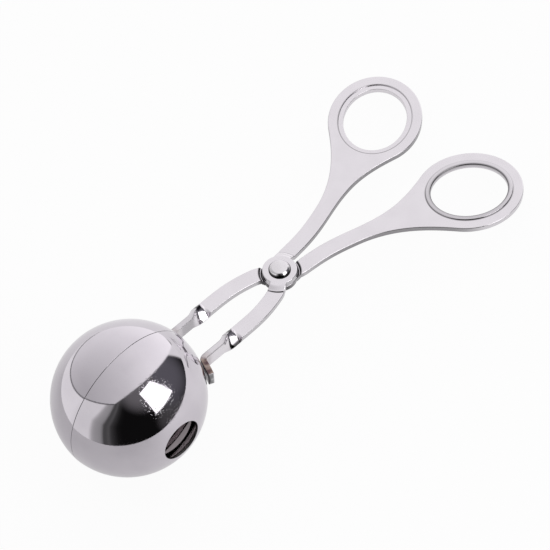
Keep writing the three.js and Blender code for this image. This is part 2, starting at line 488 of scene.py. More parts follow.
@dataclass(frozen=True)
class SheetSteel(Steel):
    """Pressed sheet, mirror polished unless told otherwise, with slow ripple and fine pits."""

    name: str = "mirror_polished_sheet"
    colour: Colour = (0.64, 0.605, 0.65)
    clouded: Colour = (0.60, 0.565, 0.61)
    gloss: float = 0.03
    haze: float = 0.07
    cloud: float = 14 * MM
    ripple: float = 9 * MM
    ripple_detail: float = 1.0
    ripple_height: float = 0.004 * MM
    pit: float = 0.72 * MM
    pit_share: float = 0.35
    pit_depth: float = 0.02 * MM
    pit_patch: tuple[float, float, float] = (-69.6 * MM, -21.2 * MM, 51.1 * MM)
    pit_reach: Span = (5 * MM, 12 * MM)
    pit_rest: float = 0.06

    def dress(self, ground: Ground) -> Looks:
        """Add the ripple, and round pits that are deep in one patch and faint elsewhere.

        Args:
            ground: What the finish starts from.

        Returns:
            The finished looks.
        """
        sheet, place, colour, gloss = ground
        slow = sheet.product(
            sheet.noise(place, self.ripple, self.ripple_detail), self.ripple_height)
        spread = sheet.add("ShaderNodeTexVoronoi", {"Vector": place, "Scale": 1.0 / self.pit})
        reach = sheet.math("DIVIDE", spread.outputs["Distance"], self.pit_share)
        bowls = sheet.math("POWER", sheet.math("MINIMUM", reach, 1.0), 2.0)
        away = sheet.add(
            "ShaderNodeVectorMath", {0: place, 1: self.pit_patch}, operation="DISTANCE")
        worn = sheet.span(sheet.ramp(away.outputs["Value"], *self.pit_reach), 1.0, self.pit_rest)
        fine = sheet.product(bowls, sheet.product(worn, self.pit_depth))
        return Looks(colour, gloss, sheet.math("ADD", slow, fine))


@dataclass(frozen=True)
class SatinSteel(Steel):
    """Tumbled satin strip with greyer sheared edges, heat tint at the weld, a raw cut end and
    painted shade.
    """

    name: str = "satin_strip_steel"
    colour: Colour = (0.77, 0.74, 0.775)
    clouded: Colour = (0.74, 0.71, 0.745)
    gloss: float = 0.10
    haze: float = 0.16
    cloud: float = 9 * MM
    cloud_detail: float = 5.0
    cloud_levels: Span = (0.3, 0.75)
    edge: Colour = (0.54, 0.525, 0.545)
    straw: Colour = (0.34, 0.26, 0.225)
    brown: Colour = (0.13, 0.08, 0.085)
    raw: Colour = (0.58, 0.58, 0.58)
    rough: Colour = (0.30, 0.30, 0.305)
    # painted shade: the near-black mixed in where the piece's painted shade mark says
    grime: Colour = (0.045, 0.043, 0.046)
    edge_gloss: float = 0.22
    raw_gloss: float = 0.5
    grain: float = 0.3 * MM
    grain_detail: float = 3.0
    grain_height: float = 0.0003 * MM
    stain: float = 2.0 * MM
    stain_detail: float = 4.0
    heat_levels: Span = (0.1, 0.42)
    brown_levels: Span = (0.4, 0.65)
    rough_levels: Span = (0.35, 0.65)

    def dress(self, ground: Ground) -> Looks:
        """Add what the piece's marks show: edges, heat, the cut end, and the painted shade.

        Args:
            ground: What the finish starts from.

        Returns:
            The finished looks.
        """
        sheet, place, colour, gloss = ground
        edge, heat, cut, groove = (
            sheet.add("ShaderNodeAttribute", attribute_name=mark.value).outputs["Fac"]
            for mark in Mark)
        stains = sheet.noise(place, self.stain, self.stain_detail)
        sheared = sheet.mix(edge, colour, self.edge)
        tint = sheet.mix(sheet.ramp(stains, *self.brown_levels), self.straw, self.brown)
        burnt = sheet.product(heat, sheet.ramp(stains, *self.heat_levels))
        torn = sheet.mix(sheet.ramp(stains, *self.rough_levels), self.raw, self.rough)
        clean = sheet.mix(cut, sheet.mix(burnt, sheared, tint), torn)
        dulled = sheet.between(edge, gloss, self.edge_gloss)
        grain = sheet.noise(place, self.grain, self.grain_detail)
        return Looks(sheet.mix(groove, clean, self.grime),
                     sheet.between(cut, dulled, self.raw_gloss),
                     sheet.product(grain, self.grain_height))


@dataclass(frozen=True)
class RivetSteel(Steel):
    """Bright pressed rivet with painted shade at its seat, and faint rings left by the riveting
    tool.
    """

    name: str = "bright_rivet_steel"
    colour: Colour = (0.77, 0.745, 0.77)
    clouded: Colour = (0.73, 0.705, 0.73)
    gloss: float = 0.07
    haze: float = 0.14
    cloud: float = 2.5 * MM
    axis: Matrix = field(kw_only=True)
    # painted shade on the head's lower flank: full below the first height up the axis, gone above
    # the second, in the colour below
    seat: Span = (3.2 * MM, 3.75 * MM)
    grime: Colour = (0.05, 0.048, 0.05)
    ring: float = 0.35 * MM
    ring_height: float = 0.0008 * MM
    ring_waver: float = 1.5
    ring_detail: float = 2.0

    def dress(self, ground: Ground) -> Looks:
        """Add the painted shade at the seat, and rings centred on the rivet's axis.

        Args:
            ground: What the finish starts from.

        Returns:
            The finished looks.
        """
        sheet, place, colour, gloss = ground
        turned = sheet.add("ShaderNodeMapping", {
            "Vector": place, "Location": self.axis.to_translation(),
            "Rotation": self.axis.to_euler()}).outputs[0]
        rings = sheet.add("ShaderNodeTexWave", {
            "Vector": turned, "Scale": 1.0 / (WAVE_RATE * self.ring),
            "Distortion": self.ring_waver, "Detail": self.ring_detail},
            wave_type="RINGS", rings_direction="Z").outputs["Fac"]
        clean = sheet.ramp(sheet.parts(turned)[2], *self.seat)
        return Looks(sheet.mix(clean, self.grime, colour), gloss,
                     sheet.product(rings, self.ring_height))


@dataclass
class HalfShell:
    """A pressed bowl with a round vent at its pole and an open rim."""

    half: Half
    node: str
    lie: Lie
    radius: float = 29.95 * MM
    shortfall: float = 0.9 * MM
    seam_gap: float = 0.14 * MM
    wall: float = 0.95 * MM
    vent_radius: float = 8.5 * MM
    edge_radius: float = 0.1 * MM
    edge_steps: int = 3
    edge_angle: float = 40.0
    pivot_to_ball: float = 79.1 * MM
    segments: int = 256
    rings: int = 84
    side_limit: float = 0.5

    def bowl_tree(self) -> bpy.types.NodeTree:
        """Build the bowl's rule: a zone of a ball about Y, from the rim to the vent at -Y.

        Returns:
            The geometry node tree, with the bowl's sizes as named inputs.
        """
        tree = bpy.data.node_groups.new("pressed_bowl", "GeometryNodeTree")
        sheet = NodeSheet(tree)
        for name, flow, kind in (
                ("Geometry", "INPUT", "Geometry"), ("Radius", "INPUT", "Float"),
                ("Rim Height", "INPUT", "Float"), ("Vent Radius", "INPUT", "Float"),
                ("Segments", "INPUT", "Int"), ("Rings", "INPUT", "Int"),
                ("Geometry", "OUTPUT", "Geometry")):
            tree.interface.new_socket(name, in_out=flow, socket_type=f"NodeSocket{kind}")
        sizes = sheet.add("NodeGroupInput").outputs
        radius = sizes["Radius"]
        grid = sheet.add("GeometryNodeMeshGrid", {
            "Size X": 1.0, "Size Y": 1.0,
            "Vertices X": sizes["Segments"], "Vertices Y": sizes["Rings"]}).outputs
        share = sheet.parts(grid["UV Map"])
        around = sheet.product(share[0], 2.0 * math.pi)
        rim = sheet.math("ARCSINE", sheet.math("DIVIDE", sizes["Rim Height"], radius))
        vent = sheet.math("ARCCOSINE", sheet.math("DIVIDE", sizes["Vent Radius"], radius))
        rise = sheet.product(sheet.math("SUBTRACT", vent, rim), share[1])
        tilt = sheet.math("ADD", rim, rise)
        reach = sheet.product(radius, sheet.math("COSINE", tilt))
        depth = sheet.product(radius, sheet.math("SINE", tilt))
        place = sheet.add("ShaderNodeCombineXYZ", {
            "X": sheet.product(reach, sheet.math("COSINE", around)),
            "Y": sheet.product(depth, -1.0),
            "Z": sheet.product(reach, sheet.math("SINE", around))})
        bowl = sheet.add("GeometryNodeSetPosition", {
            "Geometry": grid["Mesh"], "Position": place.outputs[0]})
        closed = sheet.add("GeometryNodeMergeByDistance", {
            "Geometry": bowl.outputs[0], "Distance": WELD})
        smooth = sheet.add("GeometryNodeSetShadeSmooth", {"Geometry": closed.outputs[0]})
        sheet.add("NodeGroupOutput", {"Geometry": smooth.outputs[0]})
        return tree

    def build(self, outer: bpy.types.Material, inner: bpy.types.Material,
              cut: bpy.types.Material) -> bpy.types.Object:
        """Make the bowl from its rule, give it its wall and soften its edges.

        Args:
            outer: Finish of the outside.
            inner: Finish of the inside.
            cut: Finish of the cut edges at the rim and the vent, painted near-black as shade.

        Returns:
            The bowl as a plain mesh, in place in the frame.
        """
        name = f"{self.node}_polished"
        blank = show(name, bpy.data.meshes.new(name))
        rule = blank.modifiers.new("bowl", "NODES")
        rule.node_group = self.bowl_tree()
        sizes = {"Radius": self.radius, "Rim Height": self.shortfall + self.seam_gap / 2,
                 "Vent Radius": self.vent_radius, "Segments": self.segments, "Rings": self.rings}
        for item in rule.node_group.interface.items_tree:
            if item.in_out == "INPUT" and item.name in sizes:
                rule[item.identifier] = sizes[item.name]
        wall = blank.modifiers.new("wall", "SOLIDIFY")
        wall.thickness = self.wall
        wall.offset = -1.0
        edges = blank.modifiers.new("edges", "BEVEL")
        edges.width = self.edge_radius
        edges.segments = self.edge_steps
        edges.limit_method = "ANGLE"
        edges.angle_limit = math.radians(self.edge_angle)
        edges.harden_normals = True
        mesh = carry_out(blank)
        mesh.materials.clear()  # the rule leaves one empty slot
        for finish in (outer, cut, inner):
            mesh.materials.append(finish)
        for polygon in mesh.polygons:
            outward = polygon.normal.dot(polygon.center.normalized())
            polygon.material_index = (outward < self.side_limit) + (outward < -self.side_limit)
        centre = Matrix.Translation((-self.pivot_to_ball, self.shortfall, 0.0))
        mesh.transform(self.lie.matrix(self.half) @ centre)
        blank.data = mesh
        return blank


@dataclass
class Arm:
    """A stamped arm: finger loop, neck, handle, boss, jaw, twist, blade and foot."""

    half: Half
    node: str
    lie: Lie
    strip_width: float = 6.2 * MM
    strip_thickness: float = 2.4 * MM
    edge_radius: float = 0.36 * MM
    edge_turn: Span = (2 / 3, 1 / 3)
    pivot_to_ball: float = 79.1 * MM
    boss_radius: float = 6.6 * MM
    bore_radius: float = 2.4 * MM
    lap_rise: float = 1.35 * MM
    joggle_reach: float = 9.4 * MM
    joggle_centre: Vector = field(default_factory=lambda: Vector((-0.55 * MM, 0.0)))
    slope: Span = (6.9 * MM, 2.3 * MM)
    step: Span = (9.05 * MM, 0.4 * MM)
    step_share: float = 0.3
    # painted shade rings round the joggle: radius, width and darkness
    dark_rings: tuple[tuple[float, float, float], ...] = ((9.33 * MM, 0.18 * MM, 0.75),)
    ring_core: float = 0.3
    # painted shade on the sheared edges round the lap, strongest towards the jaw
    lap_shade: float = 0.0
    lap_reach: Span = (7.8 * MM, 2.4 * MM)
    lap_turn: Span = (-4.0 * MM, 8.0 * MM)
    lap_rest: float = 0.35
    jaw_offset: float = 8.35 * MM
    jaw_exit_margin: float = 1.5 * MM
    jaw_exit_bearing: float = 33.4
    jaw_exit_angle: float = 15.5
    twist_length: float = 8.3 * MM
    twist_stops: Span = (0.205, 0.485)
    twist_rest: float = 0.24
    # painted shade at the twist's near and far edges: rise, fall and fade as shares of the twist,
    # then where across the strip it starts and how wide it grows
    near_lip: tuple[float, float, float] = (0.21, 0.56, 0.157)
    far_lip: tuple[float, float, float] = (0.204, 0.345, 0.11)
    lip_starts: Span = (0.9 * MM, 2.1 * MM)
    lip_width: float = 1.1 * MM
    blade_length: float = 8.4 * MM
    blade_edge: float = 0.3
    # painted shade: a dark line along the blade's rounded edges, and a darkened face towards the
    # bowl that fades along twist and blade
    blade_line: float = 0.65
    blade_shade: float = 0.0
    blade_heat: float = 0.35
    twist_fade: Span = (0.75, 0.25)
    blade_fade: Span = (0.48, 0.4)
    heat_start: Span = (0.6, 0.4)
    # painted shadow on the foot's side towards the bowl, in its gap, growing through the bend
    soot_start: Span = (0.5, 0.5)
    under_turn: Span = (-0.2, 2 / 3)
    foot_soot: float = 0.95
    foot_radius: float = 31.5 * MM
    foot_bend_radius: float = 2.1 * MM
    foot_length: float = 6.8 * MM
    foot_lift: float = 0.5 * MM
    bowl_shortfall: float = 0.9 * MM
    tip_radius: float = 0.3 * MM
    tip_inset: float = 1.15
    handle_offset: float = 4.15 * MM
    handle_exit_angle: float = 4.0
    neck: Vector = field(default_factory=lambda: Vector((31 * MM, 8.4 * MM)))
    neck_angle: float = 17.0
    neck_outer_pull: float = 14 * MM
    neck_inner_pull: float = 15.5 * MM
    # painted shade on the sheared edges along the handle to the loop
    neck_shade: float = 0.5
    neck_start: Span = (0.0, 26.0 * MM)
    neck_end: Span = (82.0 * MM, 10.0 * MM)
    loop_centre: Vector = field(default_factory=lambda: Vector((76 * MM, 24.986 * MM)))
    loop_tilt: float = 34.0
    # painted highlight: the loop's edges lose part of their sheared-edge grey and dullness
    loop_wear: float = 0.1
    loop_start: Span = (62.0 * MM, 8.0 * MM)
    band_width: float = 3.93 * MM
    outer_tangent: float = 111.0
    inner_tangent: float = 218.0
    hole_length: float = 29.4 * MM
    hole_width: float = 24 * MM
    hole_radii: Span = (0.2 * MM, 0.6 * MM)
    ledge_width: float = 1.9 * MM
    ledge_depth: float = 0.5 * MM
    ledge_rise: float = 0.45 * MM
    step_radius: float = 0.15 * MM
    crest_radius: float = 0.3 * MM
    rim_edge: float = 0.4
    # painted shade along the hole's rim: brink, hole edge, crest, foot and step line
    brink_shade: float = 0.1
    hole_shade: float = 0.05
    hole_levels: Span = (0.6, 2.0)
    crest_share: float = 0.4
    crest_shade: float = 0.3
    foot_shade: float = 0.5
    foot_fall: float = 0.3
    shade_width: float = 0.4 * MM
    line_shade: float = 0.65
    line_bearing: float = 205.0
    line_rest: float = 0.35
    line_turn: Span = (-5 / 6, 5 / 3)
    curve_pull: float = 0.4
    spacing: float = 0.25 * MM
    least_mitre: float = 0.5
    face_clear: float = 0.12 * MM
    ring_clear: float = 0.06 * MM
    round_steps: int = 5
    face_steps: int = 8
    neck_steps: int = 48
    turn_steps: int = 180
    bore_steps: int = 60
    slope_rings: int = 12
    step_rings: int = 6
    groove_rings: int = 3
    jaw_steps: tuple[int, int, int, int] = (40, 12, 12, 14)

    @classmethod
    def lower(cls, node: str, lie: Lie) -> "Arm":
        """Return the lower arm, with the tighter joggle and the darker painted shade of its turned
        side.
        """
        return cls(
            Half.LEFT, node, lie, joggle_centre=Vector((0.0, 0.0)),
            slope=(6.85 * MM, 0.45 * MM), step=(7.45 * MM, 0.5 * MM), step_share=0.55,
            dark_rings=((6.8 * MM, 0.3 * MM, 0.95), (7.9 * MM, 0.42 * MM, 0.97)),
            hole_shade=0.6, foot_shade=1.0, lap_shade=0.95,
            near_lip=(0.204, 0.40, 0.094), far_lip=(0.352, 0.431, 0.078),
            lip_starts=(1.1 * MM, 2.6 * MM), blade_shade=0.42, blade_line=0.3,
            neck_end=(58.0 * MM, 10.0 * MM), loop_wear=0.45)

    def rise_at(self, reach: float) -> float:
        """Return the strip's lift at a reach from the joggle's centre: a slope and a short step."""
        slope = ease(reach, *self.slope) * (1.0 - self.step_share)
        return self.lap_rise * (1.0 - slope - ease(reach, *self.step) * self.step_share)

    def rise(self, point: Vector) -> float:
        """Return how far the lapped strip is lifted at a point of the plane."""
        return self.rise_at((point - self.joggle_centre).length)

    def grime(self, point: Vector) -> float:
        """Return the painted shade on the flat: in the joggle's crease and where the other piece
        sits.
        """
        reach = (point - self.joggle_centre).length
        return max(depth * (1.0 - ease(abs(reach - radius), self.ring_core * width, width))
                   for radius, width, depth in self.dark_rings)

    def edge_shade(self, point: Vector) -> float:
        """Return the painted shade on the sheared edge: round the lap, and along the handle to the
        loop.
        """
        near = 1.0 - ease(point.length, *self.lap_reach)
        lap = near * blend(self.lap_rest, 1.0, ease(-point.x, *self.lap_turn))
        neck = ease(point.x, *self.neck_start) - ease(point.x, *self.neck_end)
        return max(self.lap_shade * lap, self.neck_shade * neck)

    def line_share(self, out: Vector) -> float:
        """Return how strongly the painted shade along the step round the finger hole shows on a
        side of the hole, most towards one bearing.
        """
        flip = 1.0 if self.half is Half.RIGHT else -1.0
        facing = out.dot(heading(self.line_bearing * flip))
        return blend(self.line_rest, 1.0, ease(facing, *self.line_turn))

    def lean(self, point: Vector, normal: Vector) -> Vector:
        """Return an outward direction as the slope of the lift turns it.

        Args:
            point: Place in the plane.
            normal: Outward direction before the lift.

        Returns:
            The direction after the lift.
        """
        out = point - self.joggle_centre
        gain = self.rise_at(out.length + NUDGE) - self.rise_at(out.length - NUDGE)
        slope = out.normalized() * (gain / (2.0 * NUDGE))
        return Vector((normal.x - slope.x * normal.z, normal.y - slope.y * normal.z, normal.z))

    def foot_bend(self) -> tuple[Vector, float]:
        """Place the bend that touches the blade's line and the bowl's offset circle.

        Returns:
            The bend's centre and the angle in radians round the ball at which the foot starts.
        """
        below = self.jaw_offset + self.bowl_shortfall + self.foot_bend_radius
        along = math.sqrt((self.foot_radius + self.foot_bend_radius) ** 2 - below ** 2)
        centre = Vector((along - self.pivot_to_ball, -self.jaw_offset - self.foot_bend_radius))
        return centre, math.atan2(below, along)

    def twist_start(self) -> Vector:
        """Return where the flat strip ends and its twist starts."""
        reach = self.foot_bend()[0].x + self.blade_length + self.twist_length
        return Vector((reach, -self.jaw_offset))

    def flat_line(self) -> list[Station]:
        """Return the strip's centre line from the loop's neck to the start of the twist."""
        exit_reach = math.sqrt(self.joggle_reach ** 2 - self.handle_offset ** 2)
        handle = Vector((exit_reach, self.handle_offset))
        jaw = heading(self.jaw_exit_bearing) * -(self.joggle_reach + self.jaw_exit_margin)
        stops = ((self.neck, self.neck_angle), (handle, self.handle_exit_angle),
                 (jaw, self.jaw_exit_angle), (self.twist_start(), 0.0))
        line: list[Station] = []
        for (start, start_angle), (end, end_angle) in zip(stops, stops[1:]):
            gap = (end - start).length
            pull = gap * self.curve_pull
            corners = (start, start - heading(start_angle) * pull,
                       end + heading(end_angle) * pull, end)
            line.extend(cubic_line(corners, math.ceil(gap / self.spacing))[1 if line else 0:])
        return line

    def round_boss(self, edge: list[Vector]) -> list[Vector]:
        """Lead an edge of the strip round the boss.

        Args:
            edge: Points along the strip's edge, with the material on their left.

        Returns:
            The edge with its stretch inside the boss replaced by the boss's rim.
        """
        within = [index for index, point in enumerate(edge) if point.length < self.boss_radius]
        enter, leave = within[0], within[-1]

        def bearing(outer: Vector, inner: Vector) -> float:
            share = (outer.length - self.boss_radius) / (outer.length - inner.length)
            meeting = outer.lerp(inner, share)
            return math.atan2(meeting.y, meeting.x)

        start = bearing(edge[enter - 1], edge[enter])
        sweep = (bearing(edge[leave + 1], edge[leave]) - start) % (2.0 * math.pi)
        rim = arc((0.0, 0.0), (self.boss_radius,) * 2,
                  (math.degrees(start), math.degrees(start + sweep)),
                  math.ceil(sweep * self.boss_radius / self.spacing))
        return [*edge[:enter], *(point for point, _ in rim), *edge[leave + 1:]]

    def oval(self, degrees: float, outside: float) -> Station:
        """Return a station on an oval round the finger hole.

        Args:
            degrees: Angle round the oval from its long axis.
            outside: Distance outside the hole's edge.

        Returns:
            The point and the direction of travel there.
        """
        turn = heading(degrees)
        spin = Matrix.Rotation(math.radians(self.loop_tilt), 2)
        long, short = self.hole_length / 2 + outside, self.hole_width / 2 + outside
        point = spin @ Vector((long * turn.x, short * turn.y)) + self.loop_centre
        return Station(point, (spin @ Vector((-long * turn.y, short * turn.x))).normalized())

    def outline(self) -> list[Vector]:
        """Return the flat blank's edge, from the near side of the twist round the loop and back."""
        line = self.flat_line()
        half = self.strip_width / 2
        near = [station.point + left_of(station.along) * half for station in reversed(line)]
        far = [station.point - left_of(station.along) * half for station in line]
        band = self.ledge_width + self.band_width
        back = heading(self.neck_angle)
        inner, outer = self.oval(self.inner_tangent, band), self.oval(self.outer_tangent, band)
        lead_in = cubic_line((near[-1], near[-1] + back * self.neck_inner_pull,
                              inner.point - inner.along * self.neck_inner_pull, inner.point),
                             self.neck_steps)
        lead_out = cubic_line((outer.point, outer.point + outer.along * self.neck_outer_pull,
                               far[0] + back * self.neck_outer_pull, far[0]), self.neck_steps)
        sweep = self.outer_tangent - self.inner_tangent + 360.0
        round_loop = [self.oval(self.inner_tangent + sweep * share, band)
                      for share in shares(self.turn_steps)]
        lead = [station.point for station in (*lead_in[1:], *round_loop, *lead_out[1:])]
        return [*self.round_boss(near), *lead, *self.round_boss(far)[1:]]

    def edge_profile(self) -> list[Corner]:
        """Return the rounded edge of the strip from its top face to its underside."""
        size = self.edge_radius
        level = self.strip_thickness / 2 - size
        rounds = (*arc((-size, level), (size, size), (90.0, 0.0), self.round_steps),
                  *arc((-size, -level), (size, size), (0.0, -90.0), self.round_steps))
        return [Corner(*point, *out, ease(out.x, *self.edge_turn), 2.0 * abs(out.x * out.y))
                for point, out in rounds]

    def hole_profile(self) -> list[Corner]:
        """Return the finger hole's pressed rim from the top face: sunk on top, proud below, with
        painted shade along its rounds.
        """
        def bend(across: float, through: float, radius: float, bearings: Span, edge: float,
                 groove: Callable[[Vector], float]) -> list[Corner]:
            turns = arc((across, through), (radius, radius), bearings, self.round_steps)
            return [Corner(*point, *out, edge * abs(out.x), groove(out)) for point, out in turns]

        top, wall = self.strip_thickness / 2, self.ledge_width
        shelf, proud = top - self.ledge_depth, top + self.ledge_rise
        soft, crest = self.step_radius, self.crest_radius
        slim, wide = self.hole_radii
        outer = wall + soft + self.shade_width
        crest_shade = self.crest_share * self.hole_shade
        sunk_edge = bend(wall + soft, top - soft, soft, (90.0, 180.0), self.rim_edge,
                         lambda out: self.line_shade)
        sunk_foot = bend(wall - soft, shelf + soft, -soft, (180.0, 90.0), self.rim_edge,
                         lambda out: self.line_shade * abs(out.x))
        brink = bend(slim, shelf - slim, slim, (90.0, 180.0), 0.0,
                     lambda out: self.brink_shade * abs(out.x))
        under = bend(wide, wide - proud, wide, (180.0, 270.0), self.rim_edge,
                     lambda out: self.hole_shade * blend(*self.hole_levels, abs(out.x * out.y)))
        proud_edge = bend(wall - crest, crest - proud, crest, (270.0, 360.0), 0.0,
                          lambda out: max(crest_shade, self.crest_shade * abs(out.x)))
        proud_foot = bend(wall + soft, -top - soft, -soft, (0.0, -90.0), self.rim_edge,
                          lambda out: self.foot_shade * (1.0 - self.foot_fall * abs(out.y)))
        return [Corner(outer, top, 0.0, 1.0, 0.0), *sunk_edge, *sunk_foot, *brink, *under,
                Corner(wide + self.shade_width, -proud, 0.0, -1.0, 0.0, crest_shade),
                *proud_edge, *proud_foot[1:], Corner(outer, -top, 0.0, -1.0, 0.0)]

    def outline_rows(self, skin: Skin, outline: list[Vector]) -> list[list[int]]:
        """Lay the rounded edge along the blank's outline.

        Args:
            skin: Skin that takes the points.
            outline: The blank's edge, with the material on its left.

        Returns:
            For each point of the outline, the point numbers from top face to underside.
        """
        profile = self.edge_profile()
        rows = []
        for index, point in enumerate(outline):
            before = point - outline[index - 1] if index else outline[1] - point
            after = outline[index + 1] - point if index + 1 < len(outline) else before
            first, second = -left_of(before.normalized()), -left_of(after.normalized())
            out = (first + second).normalized()
            stretch = 1.0 / max(out.dot(first), self.least_mitre)
            row = []
            for corner in profile:
                flat = point + out * (corner.across * stretch)
                normal = Vector((*(out * corner.out_across), corner.out_through))
                # painted shade: the flat's rings, and on the edges their own painted shade
                groove = blend(self.grime(flat), self.edge_shade(flat), corner.edge)
                # painted highlight on the loop's edges
                worn = 1.0 - self.loop_wear * ease(flat.x, *self.loop_start)
                row.append(skin.add(Vector((*flat, corner.through + self.rise(flat))),
                                    self.lean(flat, normal),
                                    Marks(edge=corner.edge * worn, groove=groove)))
            rows.append(row)
        return rows

    def hole_rows(self, skin: Skin) -> list[list[int]]:
        """Lay the pressed rim round the finger hole, row by row from top face to underside."""
        rows = []
        for corner in self.hole_profile():
            row = []
            on_line = corner.across > self.hole_radii[1] + NUDGE
            for angle in all_round(self.turn_steps):
                station = self.oval(angle, corner.across)
                out = -left_of(station.along)
                # painted shade on the step line, strongest on one side of the hole
                shown = self.line_share(out) if on_line else 1.0
                row.append(skin.add(Vector((*station.point, corner.through)),
                                    Vector((*(out * corner.out_across), corner.out_through)),
                                    Marks(edge=corner.edge, groove=corner.groove * shown)))
            rows.append(row)
        return rows

    def bore_rows(self, skin: Skin) -> list[list[int]]:
        """Bore the boss for the rivet, with one row at the top face and one underneath."""
        ring = [heading(angle) * self.bore_radius for angle in all_round(self.bore_steps)]
        return [[skin.add(Vector((*flat, through + self.lap_rise)), UP * through, Marks())
                 for flat in ring]
                for through in (self.strip_thickness / 2, -self.strip_thickness / 2)]

    def face_points(self, outline: list[Vector]) -> list[Vector]:
        """Return points inside the blank that carry the joggle's slope and the painted shade rings.
        """
        (slope, run), (step, tread) = self.slope, self.step
        radii = [step + tread * (ring - 0.5) / self.step_rings
                 for ring in range(self.step_rings + 2)]
        wide = [radius + width * ring / 2 for radius, width, _ in self.dark_rings
                for ring in range(-self.groove_rings, self.groove_rings + 1)]
        wide += [slope + run * share for share in (0.0, *shares(self.slope_rings))]
        for radius in wide:
            if min(abs(radius - near) for near in radii) > self.ring_clear:
                radii.append(radius)
        found = []
        for radius in radii:
            for angle in all_round(self.turn_steps):
                point = heading(angle) * radius + self.joggle_centre
                near = min((point - corner).length for corner in outline)
                if near > self.face_clear and inside(point, outline):
                    found.append(point)
        return found

    def strip_section(self) -> list[Corner]:
        """Return the strip's section as a ring: top face, near edge, underside, far edge."""
        half = self.strip_width / 2
        flat = half - self.edge_radius
        level = self.strip_thickness / 2
        steps = [blend(-flat, flat, share) for share in shares(self.face_steps)[:-1]]
        near = [c._replace(across=half + c.across) for c in self.edge_profile()]
        far = [c._replace(across=-c.across, out_across=-c.out_across) for c in reversed(near)]
        return [*(Corner(u, level, 0.0, 1.0, 0.0) for u in steps), *near,
                *(Corner(-u, -level, 0.0, -1.0, 0.0) for u in steps), *far]

    def twist_share(self, share: float) -> float:
        """Return how much of the quarter turn is made: two bends with a near-flat between."""
        first, second = self.twist_stops
        bend = (1.0 - self.twist_rest) / 2
        level = min(max((share - first / 2) / ((second + 1.0 - first) / 2), 0.0), 1.0)
        return (bend * ease(share, 0.0, first) + self.twist_rest * level
                + bend * ease(share, second, 1.0 - second))

    def jaw_line(self) -> list[JawStep]:
        """Return the steps of the strip from the twist to the foot's tip."""
        bend, start = self.foot_bend()
        origin, travel = self.twist_start(), Vector((-1.0, 0.0))
        ball = Vector((-self.pivot_to_ball, self.bowl_shortfall))
        sweep = (self.foot_length - self.tip_radius) / self.foot_radius
        quarter, nudge = -math.pi / 2, 0.005
        twist_steps, blade_steps, bend_steps, foot_steps = self.jaw_steps
        steps: list[JawStep] = []
        for share in shares(twist_steps):
            gain = self.twist_share(share + nudge) - self.twist_share(share - nudge)
            steps.append(JawStep(
                Station(origin + travel * (self.twist_length * share), travel),
                quarter * self.twist_share(share),
                quarter * gain / (2.0 * nudge * self.twist_length),
                Marks(blend(1.0, self.blade_edge, share), groove=self.blade_line * share),
                hump(share, *self.near_lip), hump(share, *self.far_lip),
                self.blade_shade * ease(share, *self.twist_fade)))
        for share in shares(blade_steps):
            place = origin + travel * (self.twist_length + self.blade_length * share)
            heat = self.blade_heat * ease(share, *self.heat_start)
            steps.append(JawStep(
                Station(place, travel), quarter, 0.0,
                Marks(self.blade_edge, heat, groove=self.blade_line),
                under_shade=self.blade_shade * (1.0 - ease(share, *self.blade_fade))))
        for share in shares(bend_steps):
            out = heading(blend(90.0, 180.0 - math.degrees(start), share))
            steps.append(JawStep(
                Station(bend + out * self.foot_bend_radius, left_of(out)), quarter, 0.0,
                Marks(self.blade_edge, blend(self.blade_heat, 1.0, ease(share))),
                under_shade=self.foot_soot * ease(share, *self.soot_start)))
        for share in shares(foot_steps):
            out = heading(-math.degrees(start + share * sweep))
            place = ball + out * (self.foot_radius + self.foot_lift * share ** 2)
            along = out * (2.0 * self.foot_lift * share / self.foot_length) - left_of(out)
            steps.append(JawStep(Station(place, along.normalized()), quarter, 0.0,
                                 Marks(self.blade_edge, 1.0), under_shade=self.foot_soot))
        return steps

    def section_ring(self, skin: Skin, step: JawStep, draw: float, reach: float) -> list[int]:
        """Set the strip's section across the jaw's line.

        Args:
            skin: Skin that takes the points.
            step: Step along the jaw.
            draw: How far the section draws in, in radii of the tip.
            reach: How far it lies beyond the step, in radii of the tip.

        Returns:
            The point numbers round the section.
        """
        sideways = Vector((*left_of(step.station.along), 0.0))
        along = Vector((*step.station.along, 0.0))
        across = sideways * math.cos(step.turn) + UP * math.sin(step.turn)
        through = UP * math.cos(step.turn) - sideways * math.sin(step.turn)
        centre = Vector((*step.station.point, 0.0)) + along * (reach * self.tip_radius)
        ring = []
        for corner in self.strip_section():
            out = across * corner.out_across + through * corner.out_through
            place = centre + across * corner.across + through * corner.through
            shear = step.rate * (corner.out_through * corner.across
                                 - corner.out_across * corner.through)
            normal = (out - along * shear) * max(1.0 - draw, 0.0) + along * reach
            # painted shade: bands at the twist's edges, the face towards the bowl and the line
            # along rounded edges
            near = corner.across > 0.0
            lip = ease(abs(corner.across), self.lip_starts[0 if near else 1], self.lip_width)
            dark = max(lip * (step.near_lip if near else step.far_lip),
                       step.under_shade * ease(-corner.out_through, *self.under_turn),
                       step.marks.groove * corner.groove)
            marks = step.marks._replace(edge=step.marks.edge * corner.edge, groove=dark)
            ring.append(skin.add(place - out * (draw * self.tip_radius), normal, marks))
        return ring

    def add_jaw(self, skin: Skin, ring: list[int]) -> None:
        """Carry the strip's section from the twist to the foot's tip and close it.

        Args:
            skin: Skin that takes the points and faces.
            ring: Point numbers of the section where the twist starts.
        """
        path = [(step, 0.0, 0.0) for step in self.jaw_line()]
        tip = path[-1][0]
        for share in shares(self.round_steps):
            turn = heading(90.0 * share)
            path.append((tip._replace(marks=Marks()), 1.0 - turn.x, turn.y))
        torn = Marks(cut=1.0)
        path.append((tip._replace(marks=torn), self.tip_inset, 1.0))
        rings = [ring, *(self.section_ring(skin, *place) for place in path)]
        skin.bridge_all(rings, True)
        along = Vector((*tip.station.along, 0.0))
        end = Vector((*tip.station.point, 0.0)) + along * self.tip_radius
        middle = skin.add(end, along, torn)
        last = rings[-1]
        skin.faces.extend((*pair, middle) for pair in zip(last, last[1:] + last[:1]))

